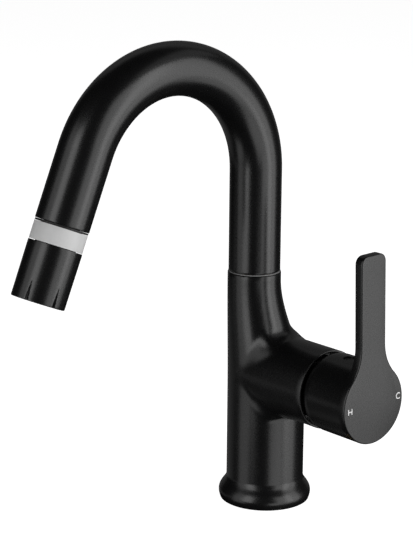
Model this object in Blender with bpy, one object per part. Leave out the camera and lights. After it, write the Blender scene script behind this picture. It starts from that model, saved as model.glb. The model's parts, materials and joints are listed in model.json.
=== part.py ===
"""Pull-down faucet with a side lever, as an assembly of separate solids.

Frame: the origin is the centre of the base's underside, on the deck. +Z is up, the spout reaches towards
-Y and the lever is on the +X side. Everything below Z = 0 hangs under the deck.
Sizes are written in millimetres and turned into metres by MM.
"""
import math

import bmesh
import bpy
import numpy as np
from mathutils import Matrix, Vector

MM = 0.001
GAP = 0.3                      # clearance between pieces that touch

# ---- driving dimensions, millimetres ----
NECK_X, NECK_Y = -4.0, -7.0    # axis of the neck and spout, seen from the base's centre
NECK_R = 15.5
JOINT_Z = 139.3                # top of the neck, where the spout swivels
TUBE_R = 15.0
TUBE_BORE = 13.4
TUBE_TOP_Z = 198.4             # end of the spout's straight riser
ARCH_R = 62.75                 # centre line of the bend
ARCH_TURN = math.radians(157.5)
LEG_END = 41.0                 # the leg, measured from the end of the bend

COLUMN_R = 22.75
BARREL_R = 22.95
BARREL_Z = 79.25
BARREL_END = 53.3
NECK_BORE = 12.7               # bore that takes the spout's swivel sleeve
NECK_FLOOR = 105.0
RING_GROOVE = (127.0, 129.0)   # groove for the sleeve's lock ring
FLANGE_R = 27.2
NECK_SQUARE = 133.9            # below this height the neck starts to sweep out
NECK_SWEEP = 66.0              # height over which it becomes the column
BARREL_TAIL = 1.7               # how much shorter than round the barrel's inner end is
UNDER_DROOP = 1.2              # the barrel's underside is this much fuller near the column
CREASE = 0.6                   # fillet where the barrel's underside leaves the column
FLANK_FILLET = 7.0             # the same, on the two flanks
TOP_FILLET = 7.0               # fillet between the neck and the barrel's top
TOP_FLANK_FILLET = 11.0        # the same, on the two flanks
FOOT_ROUND = 5.2               # radius of the foot's bead
FOOT_WIDEST = 4.4              # height of the foot's widest line
FOOT_UNDERCUT = 0.8            # how steeply the foot draws in below that line
FOOT_HOLLOW = 5.0              # hollow between the foot and the column

CARTRIDGE_R = 17.5
CARTRIDGE_BORE = 18.2
CARTRIDGE_FLOOR = 16.5
MOUTH_R = 21.6                 # wide mouth that the lever's skirt dips into when it lifts
MOUTH_FLOOR = 43.5

SKIRT_START = 54.5
SKIRT_R = 22.7
LEVER_FACE = 88.8
PLATE_T = 5.6
BLADE_HALF = 9.2
BLADE_TOP = 85.6               # above the barrel's axis
BLADE_FILLET = 27.0
LEVER_REST_TURN = math.radians(2.0)
LIFT_PIVOT = 61.5              # where the lever's stem pivots, along the barrel
STEM_TIP = 46.0                # the stem's lower end, which pushes the moving disc's carrier
DISC_REST = 2.4                # the moving disc rests this far below the barrel's axis
SCREW_X = 69.7                 # the set screw, along the barrel
SCREW_WAY_R = 3.6
PLUG_R = 3.3

GASKET_R = 22.4
GASKET_BORE = 19.4
GASKET_T = 2.0
WASHER_R = 26.0
SHANK_R = 16.0
SHANK_BORE = 14.5
SHANK_BOTTOM = -62.0
SHANK_TOP = 11.7
DECK_T = 30.0
PORTS = {"hot": (7.5, -6.0), "cold": (7.5, 6.0), "outlet": (-3.0, 8.8)}
PORT_R = 3.0
NIPPLE_R = 4.5
NIPPLE_BORE = 2.6
NIPPLE_LOW, NIPPLE_TOP = -22.0, 23.7
HOSE_X, HOSE_Y = -4.5, -5.5    # where the spray hose passes through the base
HOSE_R = 4.7
HOSE_WAY_R = 6.0

RING_START, RING_END = 42.5, 52.4
RING_R = 14.8
LIP_R = 14.8                   # black lip between the spout's end and the ring
NOZZLE_START, NOZZLE_END = 52.7, 84.0
NOZZLE_R = 14.95
NOZZLE_TIP_R = 14.8
GRIPS = 6
GRIP_PHASE = 0.04              # the first groove, in parts of the spacing


# ---- small tools ----
def clear_scene():
    for old in list(bpy.data.objects):
        bpy.data.objects.remove(old)


def principled(name, colour, roughness, metallic=0.0):
    material = bpy.data.materials.new(name)
    material.use_nodes = True
    shader = material.node_tree.nodes["Principled BSDF"]
    shader.inputs["Base Color"].default_value = (*colour, 1.0)
    shader.inputs["Roughness"].default_value = roughness
    shader.inputs["Metallic"].default_value = metallic
    return material


def axis_empty(name, matrix):
    empty = bpy.data.objects.new(name, None)
    empty.matrix_world = matrix
    bpy.context.scene.collection.objects.link(empty)
    return empty


def add_mesh(name, points, faces, parent=None, material=None, smooth=35.0):
    """A mesh object from points in millimetres, in its parent's frame."""
    mesh = bpy.data.meshes.new(name)
    mesh.from_pydata([Vector(p) * MM for p in points], [], faces)
    shape = bmesh.new()
    shape.from_mesh(mesh)
    bmesh.ops.remove_doubles(shape, verts=shape.verts, dist=1e-6)
    bmesh.ops.recalc_face_normals(shape, faces=shape.faces)
    if shape.calc_volume(signed=True) < 0:
        bmesh.ops.reverse_faces(shape, faces=shape.faces)
    shape.to_mesh(mesh)
    shape.free()
    mesh.shade_smooth()
    mesh.set_sharp_from_angle(angle=math.radians(smooth))
    solid = bpy.data.objects.new(name, mesh)
    bpy.context.scene.collection.objects.link(solid)
    if parent is not None:
        solid.parent = parent
    if material is not None:
        mesh.materials.append(material)
    return solid


def arc(centre, radius, start, end, steps):
    """Points of an arc in a profile plane; angles in degrees."""
    angles = np.radians(np.linspace(start, end, steps + 1))
    return [(centre[0] + radius * math.cos(a), centre[1] + radius * math.sin(a)) for a in angles]


def turned(name, profile, segments=32, parent=None, material=None, centre=(0.0, 0.0), smooth=35.0):
    """Turn a closed profile of (radius, height) points about the parent's Z axis."""
    points, rings, faces = [], [], []
    for radius, height in profile:
        count = 1 if radius < 1e-6 else segments
        rings.append([len(points) + i for i in range(count)])
        for i in range(count):
            angle = 2 * math.pi * i / segments
            x, y = centre[0] + radius * math.cos(angle), centre[1] + radius * math.sin(angle)
            points.append((x, y, height))
    for a, b in zip(rings, rings[1:] + rings[:1]):
        if len(a) == 1 and len(b) == 1:
            continue
        for i in range(segments):
            j = (i + 1) % segments
            corners = [a[i % len(a)], a[j % len(a)], b[j % len(b)], b[i % len(b)]]
            faces.append(list(dict.fromkeys(corners)))
    return add_mesh(name, points, faces, parent, material, smooth)


def ring(name, outer, inner, low, high, chamfer=0.0, **rest):
    """A turned ring, or a disc when inner is 0, with small chamfers on its outer edges."""
    profile = [(inner, low), (outer - chamfer, low), (outer, low + chamfer), (outer, high - chamfer),
               (outer - chamfer, high), (inner, high)]
    if chamfer == 0.0:
        profile = [(inner, low), (outer, low), (outer, high), (inner, high)]
    return turned(name, profile, **rest)


def cutter(solid):
    solid.hide_render = True
    solid.display_type = "WIRE"
    return solid


def cut(solid, *tools):
    for tool in tools:
        boolean = solid.modifiers.new("cut_" + tool.name, "BOOLEAN")
        boolean.operation = "DIFFERENCE"
        boolean.solver = "EXACT"
        boolean.object = cutter(tool)
    return solid


def join(solid, *tools):
    for tool in tools:
        boolean = solid.modifiers.new("join_" + tool.name, "BOOLEAN")
        boolean.operation = "UNION"
        boolean.solver = "EXACT"
        boolean.object = cutter(tool)
    return solid


def slab(name, low, high, parent=None):
    """A plain box between two corners."""
    (x0, y0, z0), (x1, y1, z1) = low, high
    points = [(x0, y0, z0), (x1, y0, z0), (x1, y1, z0), (x0, y1, z0),
              (x0, y0, z1), (x1, y0, z1), (x1, y1, z1), (x0, y1, z1)]
    faces = [(0, 3, 2, 1), (4, 5, 6, 7), (0, 1, 5, 4), (1, 2, 6, 5), (2, 3, 7, 6), (3, 0, 4, 7)]
    return add_mesh(name, points, faces, parent)


def smooth_step(t):
    t = np.clip(t, 0.0, 1.0)
    return t * t * (3.0 - 2.0 * t)


# ---- frames ----
def barrel_frame(turn=0.0):
    """Local +Z runs along the barrel (world +X); local +Y is world +Y when turn is 0."""
    return Matrix.Translation((0, 0, BARREL_Z * MM)) @ Matrix.Rotation(turn, 4, "X") @ Matrix.Rotation(
        math.pi / 2, 4, "Y")


def leg_frame():
    """Local +Z runs down the spout's leg, from the end of the bend; local +X is world +X."""
    start = spout_path(1, ends=False)[-1]
    return Matrix.Translation(Vector(start) * MM) @ Matrix.Rotation(ARCH_TURN, 4, "X")


def spout_path(steps, ends=True, low=JOINT_Z, leg=LEG_END):
    """Centre line of the spout: riser, bend and leg."""
    points = []
    if ends:
        points.append((NECK_X, NECK_Y, low))
    for i in range(steps + 1):
        angle = ARCH_TURN * i / steps
        points.append((NECK_X, NECK_Y - ARCH_R * (1 - math.cos(angle)),
                       TUBE_TOP_Z + ARCH_R * math.sin(angle)))
    if ends:
        _, y, z = points[-1]
        points.append((NECK_X, y - leg * math.sin(ARCH_TURN), z + leg * math.cos(ARCH_TURN)))
    return points


def swept_tube(name, path, outer, inner, segments, parent=None, material=None):
    """A tube, or a rod when inner is 0, along a path that lies in a plane of constant X."""
    points, faces, loops = [], [], []
    for i, point in enumerate(path):
        before, after = path[max(i - 1, 0)], path[min(i + 1, len(path) - 1)]
        along = (Vector(after) - Vector(before)).normalized()
        side = Vector((1, 0, 0))
        up = along.cross(side)
        for radius in ([outer, inner] if inner else [outer]):
            loops.append(len(points))
            for k in range(segments):
                angle = 2 * math.pi * k / segments
                points.append(Vector(point) + radius * (side * math.cos(angle) + up * math.sin(angle)))
    step = 2 if inner else 1
    for i in range(0, len(loops) - step, step):
        for k in range(segments):
            j = (k + 1) % segments
            faces.append((loops[i] + k, loops[i] + j, loops[i + step] + j, loops[i + step] + k))
            if inner:
                a, b = loops[i + 1], loops[i + 1 + step]
                faces.append((a + j, a + k, b + k, b + j))
    if inner:
        for outer_loop, inner_loop in ((loops[0], loops[1]), (loops[-2], loops[-1])):
            for k in range(segments):
                j = (k + 1) % segments
                faces.append((outer_loop + k, outer_loop + j, inner_loop + j, inner_loop + k))
    else:
        faces.append([loops[0] + k for k in range(segments)])
        faces.append([loops[-1] + k for k in range(segments)])
    return add_mesh(name, points, faces, parent, material)


# ---- the cast body ----
def round_union(a, b, radius):
    """Union of two distance fields with a circular fillet in the hollow corner between them."""
    u = np.maximum(radius - a, 0.0)
    v = np.maximum(radius - b, 0.0)
    return np.maximum(radius, np.minimum(a, b)) - np.hypot(u, v)


def body_distance(x, y, z):
    """Signed distance, in millimetres, to the casting's outside: column, barrel, neck and foot."""
    # the column leans and narrows into the neck: plumb at the front left, sweeping in at the back right
    grown = smooth_step((NECK_SQUARE - z) / NECK_SWEEP)
    column = (np.hypot(x - NECK_X * (1.0 - grown), y - NECK_Y * (1.0 - grown))
              - (NECK_R + (COLUMN_R - NECK_R) * grown))
    around = np.hypot(y, z - BARREL_Z)
    radius = COLUMN_R + (BARREL_R - COLUMN_R) * smooth_step(x / 20.0)
    below = np.clip((BARREL_Z - z) / BARREL_R, 0.0, 1.0)
    droop = UNDER_DROOP * below * smooth_step((44.0 - x) / 24.0) * smooth_step((x - 2.0) / 12.0)
    barrel = np.where(x < 0.0, np.hypot(BARREL_TAIL * x, around), around) - radius - droop
    # fillets: wider on the two flanks than above and below, and none where the two surfaces are tangent
    above = smooth_step((z - BARREL_Z) / 16.0)
    outward = smooth_step((x + 2.0) / 16.0)
    flank = smooth_step((np.abs(y) - 5.0) / 12.0)
    slant = np.clip(1.5 * (1.0 - y * y / np.maximum(np.hypot(x, y) * around, 1.0)), 0.0, 1.0)
    under = CREASE + (FLANK_FILLET - CREASE) * flank
    over = TOP_FILLET + (TOP_FLANK_FILLET - TOP_FILLET) * flank
    fillet = CREASE + (under + (over - under) * above - CREASE) * outward * slant
    upper = round_union(column, barrel, fillet)
    # foot: a bead, round above its widest line and steeper below it, with a hollow above
    across = np.hypot(x, y) - (FLANGE_R - FOOT_ROUND)
    height = np.where(z > FOOT_WIDEST, z - FOOT_WIDEST, (FOOT_WIDEST - z) * FOOT_UNDERCUT)
    foot = np.where(across > 0.0, np.hypot(across, height), height) - FOOT_ROUND
    return round_union(upper, foot, FOOT_HOLLOW)


def surface_net(distance, low, high, step):
    """Quads around the zero surface of a distance field, each corner pulled onto the surface."""
    axes = [np.arange(low[i], high[i] + step, step) for i in range(3)]
    field = distance(*np.meshgrid(*axes, indexing="ij"))
    cells = tuple(n - 1 for n in field.shape)
    total = np.zeros(cells + (3,))
    count = np.zeros(cells)

    def corner(offset):
        return field[tuple(slice(offset[a], cells[a] + offset[a]) for a in range(3))]

    offsets = [(i, j, k) for i in (0, 1) for j in (0, 1) for k in (0, 1)]
    for axis in range(3):
        for offset in (o for o in offsets if o[axis] == 0):
            other = tuple(o + (a == axis) for a, o in enumerate(offset))
            near, far = corner(offset), corner(other)
            crossed = (near < 0) != (far < 0)
            share = np.where(crossed, near / np.where(crossed, near - far, 1.0), 0.0)
            for a in range(3):
                total[..., a] += np.where(crossed, offset[a] + (share if a == axis else 0.0), 0.0)
            count += crossed
    active = count > 0
    index = np.full(cells, -1)
    index[active] = np.arange(active.sum())
    points = (total[active] / count[active][:, None] + np.argwhere(active)) * step + np.array(low)
    faces = []
    for axis in range(3):
        b, c = (axis + 1) % 3, (axis + 2) % 3
        first, second = [slice(1, -1)] * 3, [slice(1, -1)] * 3
        first[axis], second[axis] = slice(0, -1), slice(1, None)
        near, far = field[tuple(first)], field[tuple(second)]
        crossed = (near < 0) != (far < 0)
        place = np.argwhere(crossed)
        place[:, [b, c]] += 1
        quad = []
        for shift_b, shift_c in ((-1, -1), (0, -1), (0, 0), (-1, 0)):
            cell = place.copy()
            cell[:, b] += shift_b
            cell[:, c] += shift_c
            quad.append(index[tuple(cell.T)])
        quad = np.stack(quad, 1)
        outward = near[crossed] < 0
        quad[~outward] = quad[~outward][:, ::-1]
        faces.append(quad)
    nudge = 0.02 * step
    for _ in range(4):
        value = distance(*points.T)
        rise = [distance(*(points + nudge * e).T) - distance(*(points - nudge * e).T) for e in np.eye(3)]
        slope = np.stack(rise, 1) / (2 * nudge)
        points = points - slope * (value / np.maximum((slope ** 2).sum(1), 1e-9))[:, None]
    return points, np.concatenate(faces)


def make_body(material, root, barrel):
    points, faces = surface_net(body_distance, (-32.0, -32.0, -6.0), (64.0, 32.0, 150.0), 2.0)
    solid = add_mesh("faucet_body", points.tolist(), faces.tolist(), root, material)
    thin = solid.modifiers.new("thin_out", "DECIMATE")
    thin.ratio = 0.2
    thin.use_collapse_triangulate = True
    trims = [slab("trim_deck", (-40, -40, -20), (80, 40, 0), root),
             slab("trim_neck", (-40, -40, JOINT_Z - 0.9), (80, 40, 170), root),
             slab("trim_barrel", (BARREL_END, -40, 20), (90, 40, 130), root)]
    low, high = RING_GROOVE
    neck_bore = [(0, NECK_FLOOR), (NECK_BORE, NECK_FLOOR), (NECK_BORE, low), (NECK_BORE + 0.9, low),
                 (NECK_BORE + 0.9, high), (NECK_BORE, high), (NECK_BORE, JOINT_Z + 10), (0, JOINT_Z + 10)]
    bores = [turned("bore_neck", neck_bore, 32, root, centre=(NECK_X, NECK_Y)),
             ring("bore_hose", HOSE_WAY_R, 0, -10, 110, segments=20, parent=root, centre=(HOSE_X, HOSE_Y)),
             turned("bore_cartridge", [(0, CARTRIDGE_FLOOR), (CARTRIDGE_BORE, CARTRIDGE_FLOOR),
                                       (CARTRIDGE_BORE, MOUTH_FLOOR), (MOUTH_R, MOUTH_FLOOR),
                                       (MOUTH_R, 70), (0, 70)], 40, barrel),
             ring("bore_shank", SHANK_R + GAP, 0, -10, SHANK_TOP + GAP, segments=32, parent=root),
             ring("groove_gasket", GASKET_R + GAP, GASKET_BORE - GAP, -5, GASKET_T + GAP, segments=32,
                  parent=root)]
    for name, (x, y) in PORTS.items():
        top = 95.0 if name == "outlet" else 82.0
        bores.append(ring("bore_" + name, PORT_R, 0, -10, top, segments=12, parent=root, centre=(x, y)))
        end = Vector((CARTRIDGE_FLOOR + 1.0, 2.0 if name == "outlet" else y, top - PORT_R))
        start = Vector((x, y, top - PORT_R))
        along = end - start
        frame = Matrix.Translation(start * MM) @ along.to_track_quat("Z", "Y").to_matrix().to_4x4()
        gallery = ring("gallery_" + name, PORT_R - 0.4, 0, 0, along.length, segments=12)
        gallery.matrix_world = frame
        bores.append(gallery)
        bores.append(ring("thread_" + name, NIPPLE_R + 0.2, 0, -10, NIPPLE_TOP + GAP, segments=16,
                          parent=root, centre=(x, y)))
    return cut(solid, *trims, *bores)


# ---- under the deck ----
def make_mounting(steel, brass, rubber, root):
    shank = [(SHANK_BORE, SHANK_BOTTOM), (SHANK_R - 1, SHANK_BOTTOM), (SHANK_R, SHANK_BOTTOM + 1),
             (SHANK_R, SHANK_TOP - 0.5), (SHANK_R - 0.5, SHANK_TOP), (SHANK_BORE, SHANK_TOP)]
    turned("mounting_shank", shank, 32, root, brass)
    ring("base_gasket", GASKET_R, GASKET_BORE, 0.0, GASKET_T, segments=32, parent=root, material=rubber)
    washer = -DECK_T - 3.0
    ring("deck_rubber_washer", WASHER_R, SHANK_R + 0.4, washer, -DECK_T, segments=32, parent=root,
         material=rubber)
    ring("deck_steel_washer", WASHER_R, SHANK_R + 0.4, washer - GAP - 1.5, washer - GAP, segments=32,
         parent=root, material=steel)
    top = washer - 2 * GAP - 1.5
    nut = ring("mounting_nut", 23.5, 0, top - 9.0, top, chamfer=1.2, segments=6, parent=root, material=brass,
               smooth=20.0)
    cut(nut, ring("nut_bore", SHANK_R + 0.4, 0, top - 12, top + 3, segments=32, parent=root))
    for name, (x, y) in PORTS.items():
        label = name + ("_nipple" if name == "outlet" else "_inlet_nipple")
        nipple = [(NIPPLE_BORE, NIPPLE_LOW), (NIPPLE_R - 0.5, NIPPLE_LOW), (NIPPLE_R, NIPPLE_LOW + 0.5),
                  (NIPPLE_R, NIPPLE_TOP - 0.5), (NIPPLE_R - 0.5, NIPPLE_TOP), (NIPPLE_BORE, NIPPLE_TOP)]
        turned(label, nipple, 16, root, brass, (x, y))


# ---- cartridge in the barrel ----
def make_cartridge(parts, barrel):
    floor = CARTRIDGE_FLOOR + GAP
    ring("cartridge_seal", 13.5, 10.2, floor, floor + 1.0, segments=28, parent=barrel,
         material=parts["rubber"])
    base = floor + 1.0 + GAP
    turned("cartridge_housing",
           [(15.2, base + 2.0), (11.0, base + 2.0), (11.0, base), (CARTRIDGE_R - 0.4, base),
            (CARTRIDGE_R, base + 0.4), (CARTRIDGE_R, base + 19.0), (15.0, base + 21.0),
            (13.2, base + 21.0), (13.2, base + 18.0),
            (15.2, base + 18.0)], 32, barrel, parts["grey_plastic"])
    disc = base + 2.0 + GAP
    fixed = ring("ceramic_fixed_disc", 14.8, 0, disc, disc + 3.2, segments=28, parent=barrel,
                 material=parts["ceramic"])
    holes = [ring("port_%d" % i, 2.6, 0, disc - 1, disc + 5, segments=12, parent=barrel,
                  centre=(7.4 * math.cos(a), 7.4 * math.sin(a)))
             for i, a in enumerate((math.radians(90), math.radians(210), math.radians(330)))]
    cut(fixed, *holes)
    nut = MOUTH_FLOOR - 0.6
    turned("cartridge_nut", [(13.0, base + 21.3), (15.3, base + 21.3), (17.8, base + 19.4), (17.8, nut),
                             (15.6, nut + 3.0), (13.0, nut + 3.0)], 32, barrel, parts["black"])
    return disc + 3.2 + GAP, base


def make_rotor(parts, turning, start, base):
    """Everything that turns with the lever inside the cartridge; local -X is up."""
    low = start + 3.4 + GAP
    moving = ring("ceramic_moving_disc", 12.2, 0, start, start + 3.4, segments=28, parent=turning,
                  material=parts["ceramic"], centre=(DISC_REST, 0.0))
    cut(moving, slab("mixing_hollow", (-3.0, -8.0, start - 2), (8.0, 8.0, start + 1.8), turning))
    carrier = ring("disc_carrier", 12.2, 0, low, low + 3.0, segments=28, parent=turning,
                   material=parts["grey_plastic"], centre=(DISC_REST, 0.0))
    join(carrier, slab("carrier_post", (-4.2, -3.3, low + 1.0), (4.2, 3.3, STEM_TIP + 2.0), turning))
    cut(carrier, slab("carrier_fork", (-2.8, -5.0, STEM_TIP - 3.4), (2.8, 5.0, STEM_TIP + 5.0), turning))
    foot = low + 3.0 + GAP
    shoulder = base + 17.6
    neck = base + 23.5
    crown = LIFT_PIVOT + 1.8
    shape = [(0, foot), (14.7, foot), (14.7, shoulder), (12.8, shoulder), (12.8, neck), (9.6, neck),
             (9.6, crown), (0, crown)]
    rotor = turned("cartridge_rotor", shape, 28, turning, parts["white_plastic"])
    cut(rotor, slab("carrier_slot", (-9.7, -3.6, foot - 3), (4.9, 3.6, neck - 1), turning),
        slab("stem_slot", (-14.0, -3.6, neck - 2), (4.9, 3.6, crown + 3), turning),
        pin_hole("rotor_pin_hole", 1.6, turning))
    pin = ring("lever_pin", 1.4, 0, -8.6, 8.6, segments=12, parent=turning, material=parts["steel"])
    pin.matrix_local = pin_place()


def pin_place():
    """Across the barrel, through the lift pivot."""
    return Matrix.Translation((0, 0, LIFT_PIVOT * MM)) @ Matrix.Rotation(math.pi / 2, 4, "X")


def pin_hole(name, radius, turning):
    hole = ring(name, radius, 0, -20, 20, segments=14, parent=turning)
    hole.matrix_local = pin_place()
    return hole


def make_bonnet(material, barrel):
    """A domed cover over the cartridge, centred on the lift pivot so the lever clears it."""
    outer, inner = 18.9, 17.4
    foot, top = 47.2, LIFT_PIVOT - 1.4
    def dome(radius, start, end):
        return [(math.sqrt(radius ** 2 - (LIFT_PIVOT - x) ** 2), x) for x in np.linspace(start, end, 6)]

    outside = dome(outer, foot + 0.8, top)
    inside = dome(inner, top - 1.4, foot + 0.8)
    profile = [(10.2, foot - 1.0), (15.2, foot - 1.0), (15.2, foot)] + outside
    profile += [(10.3, top), (10.3, top - 1.4)]
    turned("bonnet", profile + inside[:-1] + [(10.9, foot + 1.0), (10.2, foot + 0.6)], 24, barrel, material)


# ---- lever ----
def lever_outline(radius, half, top, steps, corner=4.0):
    """Outline of disc and blade, seen along the barrel; points (up, across), centred on the axis."""
    fillet = BLADE_FILLET
    start = math.sqrt((radius + fillet) ** 2 - (half + fillet) ** 2)
    meet = math.atan2(start, half + fillet)
    side = [(start + fillet * math.sin(a), half + fillet + fillet * math.cos(a))
            for a in np.linspace(math.pi + meet, math.pi, steps // 4 + 1)]
    disc = [(radius * math.sin(a), radius * math.cos(a)) for a in np.linspace(meet, -math.pi / 2, steps)]
    tip = [(top - corner + corner * math.sin(a), half - corner + corner * math.cos(a))
           for a in np.linspace(0, math.pi / 2, 5)]
    right = disc[::-1] + side[1:] + tip
    left = [(up, -across) for up, across in reversed(right[1:])]
    return right + left


def make_lever(parts, lever):
    """The lever's frame: local +Z along the barrel, local -X is up."""
    back, face = LEVER_FACE - PLATE_T, LEVER_FACE
    outline = lever_outline(SKIRT_R, BLADE_HALF, BLADE_TOP, 22)
    edge = 1.0
    points, faces = [], []
    rows = [(0.9, back), (0.0, back + 0.9), (0.0, face - edge), (0.3, face - 0.3), (edge, face)]
    for inset, height in rows:
        inner = lever_outline(SKIRT_R - inset, BLADE_HALF - inset, BLADE_TOP - inset, 22, 4.0 - inset)
        points += [(-up, across, height) for up, across in inner]
    n = len(outline)
    for i in range(len(rows) - 1):
        for k in range(n):
            j = (k + 1) % n
            faces.append((i * n + k, i * n + j, (i + 1) * n + j, (i + 1) * n + k))
    faces.append(list(range(n)))
    faces.append([(len(rows) - 1) * n + k for k in range(n)])
    plate = add_mesh("handle", points, faces, lever, parts["black"])
    skirt = turned("skirt", [(19.4, SKIRT_START), (20.9, SKIRT_START), (21.7, SKIRT_START + 1.2),
                             (22.35, SKIRT_START + 3.0), (SKIRT_R, SKIRT_START + 5.5),
                             (SKIRT_R - 0.02, back + 2.0), (0, back + 2.0), (0, back - 2.2),
                             (19.4, back - 2.2)], 64, lever)
    boss = ring("boss", 7.5, 0, SCREW_X - 3.3, back, segments=24, parent=lever)
    socket = ring("stem_socket", 4.6, 0, SCREW_X - 10, back - 3.0, segments=20, parent=lever)
    across = Matrix.Translation((0, 0, SCREW_X * MM)) @ Matrix.Rotation(-math.pi / 2, 4, "Y")
    hole = ring("screw_way", SCREW_WAY_R, 0, 12.0, 30.0, segments=20, parent=lever)
    hole.matrix_local = across
    thread = ring("screw_thread", 2.3, 0, 3.0, 14.0, segments=14, parent=lever)
    thread.matrix_local = across
    join(plate, skirt, boss)
    cut(plate, socket, hole, thread)
    screw = ring("set_screw", 2.0, 0, 4.9, 10.5, segments=14, parent=lever, material=parts["steel"])
    screw.matrix_local = across
    plug = turned("set_screw_plug", [(0, 18.6), (PLUG_R, 18.6), (PLUG_R, 21.3), (PLUG_R - 0.3, 21.6),
                                     (0, 21.6)], 20, lever,
                  parts["black_plastic"])
    plug.matrix_local = across
    ball = arc((0.0, STEM_TIP), 2.5, -90, 40, 6)
    shape = ball + [(1.9, STEM_TIP + 4.0), (3.2, STEM_TIP + 7.0), (3.2, LIFT_PIVOT + 3.5),
                    (4.3, LIFT_PIVOT + 5.5), (4.3, back - 3.4), (0, back - 3.4)]
    stem = turned("cartridge_stem", shape, 20, lever, parts["steel"])
    cut(stem, pin_hole("stem_pin_hole", 1.7, lever))


# ---- spout ----
def make_spout(parts, spout, leg):
    path = spout_path(16, low=JOINT_Z + GAP)
    swept_tube("spout_tube", path, TUBE_R, TUBE_BORE, 28, None, parts["black"])
    shape = [(9.0, 107), (12.4, 107), (12.4, 110.0), (10.5, 110.0), (10.5, 112.4), (12.4, 112.4),
             (12.4, 118.0), (10.5, 118.0), (10.5, 120.4), (12.4, 120.4), (12.4, 126.8), (11.2, 126.8),
             (11.2, 129.2), (12.4, 129.2), (12.4, JOINT_Z + 1.0), (13.1, JOINT_Z + 1.0), (13.1, 156),
             (9.0, 156)]
    turned("swivel_sleeve", shape, 28, spout, parts["brass"])
    for label, height in (("lower", 111.2), ("upper", 119.2)):
        profile = [(11.6 + 0.85 * math.cos(a), height + 0.9 * math.sin(a)) for a in
                   np.linspace(0, 2 * math.pi, 9)[:-1]]
        turned("sleeve_o_ring_" + label, profile, 24, spout, parts["rubber"])
    ring("sleeve_lock_ring", 13.3, 11.5, 127.3, 128.7, segments=28, parent=spout, material=parts["steel"])
    shape = [(9.3, 22.0), (13.1, 22.0), (13.1, LEG_END - 0.5), (10.6, LEG_END - 0.5), (9.3, 34.0)]
    turned("dock_bush", shape, 32, leg, parts["white_plastic"])


def make_hoses(parts, root):
    low = [(HOSE_X, HOSE_Y, SHANK_BOTTOM - 6.0), (HOSE_X, HOSE_Y, 20.0), (HOSE_X, HOSE_Y, 70.0),
           (HOSE_X + 0.25, HOSE_Y - 0.75, 105.0), (NECK_X, NECK_Y, 125.0), (NECK_X, NECK_Y, JOINT_Z - 0.15)]
    swept_tube("spray_hose_lower", low, HOSE_R, 0, 12, root, parts["hose"])
    high = spout_path(16, low=JOINT_Z + 0.15, leg=8.0)
    swept_tube("spray_hose_spout", high, HOSE_R, 0, 12, None, parts["hose"])
    end = SHANK_BOTTOM - 6.0 - GAP
    shape = [(0, end - 22), (3.6, end - 22), (3.6, end - 16), (6.6, end - 15.2), (6.6, end - 6),
             (5.6, end - 5), (5.6, end), (0, end)]
    turned("hose_connector", shape, 20, root, parts["brass"], (HOSE_X, HOSE_Y))


# ---- pull-down head ----
def make_head(parts, head, nozzle):
    ring("spray_hose_head", HOSE_R, 0, 8.3, 30.0, segments=12, parent=head, material=parts["hose"])
    turned("hose_nut", [(0, 30.3), (6.6, 30.3), (8.2, 31.5), (8.2, 37.0), (0, 37.0)], 24, head,
           parts["brass"])
    lip, under = LEG_END + GAP, RING_START - GAP
    shoulder = RING_END + GAP
    core = [(5.0, 37.3), (9.0, 37.3), (9.9, 40.0), (9.9, lip), (LIP_R - 0.2, lip), (LIP_R, lip + 0.2),
            (LIP_R, under - 0.2), (LIP_R - 0.2, under), (11.2, under), (11.2, shoulder), (11.9, shoulder),
            (11.9, 54.6), (10.6, 54.6), (10.6, 56.8), (11.9, 56.8), (11.9, 60.0), (9.0, 60.0), (9.0, 45.0),
            (5.0, 45.0)]
    turned("head_core", core, 40, head, parts["black_plastic"])
    edge = 0.15
    collar = [(11.5, RING_START), (RING_R - edge, RING_START), (RING_R, RING_START + edge),
              (RING_R, RING_END - edge), (RING_R - edge, RING_END), (11.5, RING_END)]
    turned("docking_collar", collar, 40, head, parts["ring_plastic"])
    ring("check_valve", 4.6, 0, 38.0, 44.0, segments=20, parent=head, material=parts["grey_plastic"])
    turned("head_o_ring", [(11.65 + 0.9 * math.cos(a), 55.7 + 0.9 * math.sin(a)) for a in
                           np.linspace(0, 2 * math.pi, 9)[:-1]], 28, head, parts["rubber"])
    tip = NOZZLE_END - 1.2
    aerator = [(9.6, 62.0), (11.4, 62.0), (11.4, 78.0), (11.9, 78.4), (11.9, tip), (10.2, tip), (10.2, 76.0),
               (9.6, 75.0)]
    turned("aerator_housing", aerator, 28, nozzle, parts["grey_plastic"])
    skin = [(12.7, NOZZLE_START), (NOZZLE_R - 0.3, NOZZLE_START), (NOZZLE_R, NOZZLE_START + 0.3),
            (NOZZLE_TIP_R, NOZZLE_END - 0.4), (NOZZLE_TIP_R - 0.3, NOZZLE_END), (12.4, NOZZLE_END),
            (12.4, 62.0), (12.7, 61.0)]
    shell = turned("nozzle_shell", skin, 48, nozzle, parts["black"])
    for i in range(GRIPS):
        angle = 2 * math.pi * (i + GRIP_PHASE) / GRIPS
        wedge = grip_cutter("grip_%d" % (i + 1), nozzle)
        wedge.matrix_local = Matrix.Rotation(angle, 4, "Z")
        cut(shell, wedge)
    ring("spray_face", 10.0, 0, 79.0, NOZZLE_END - 1.4, segments=28, parent=nozzle,
         material=parts["grey_plastic"])


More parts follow.
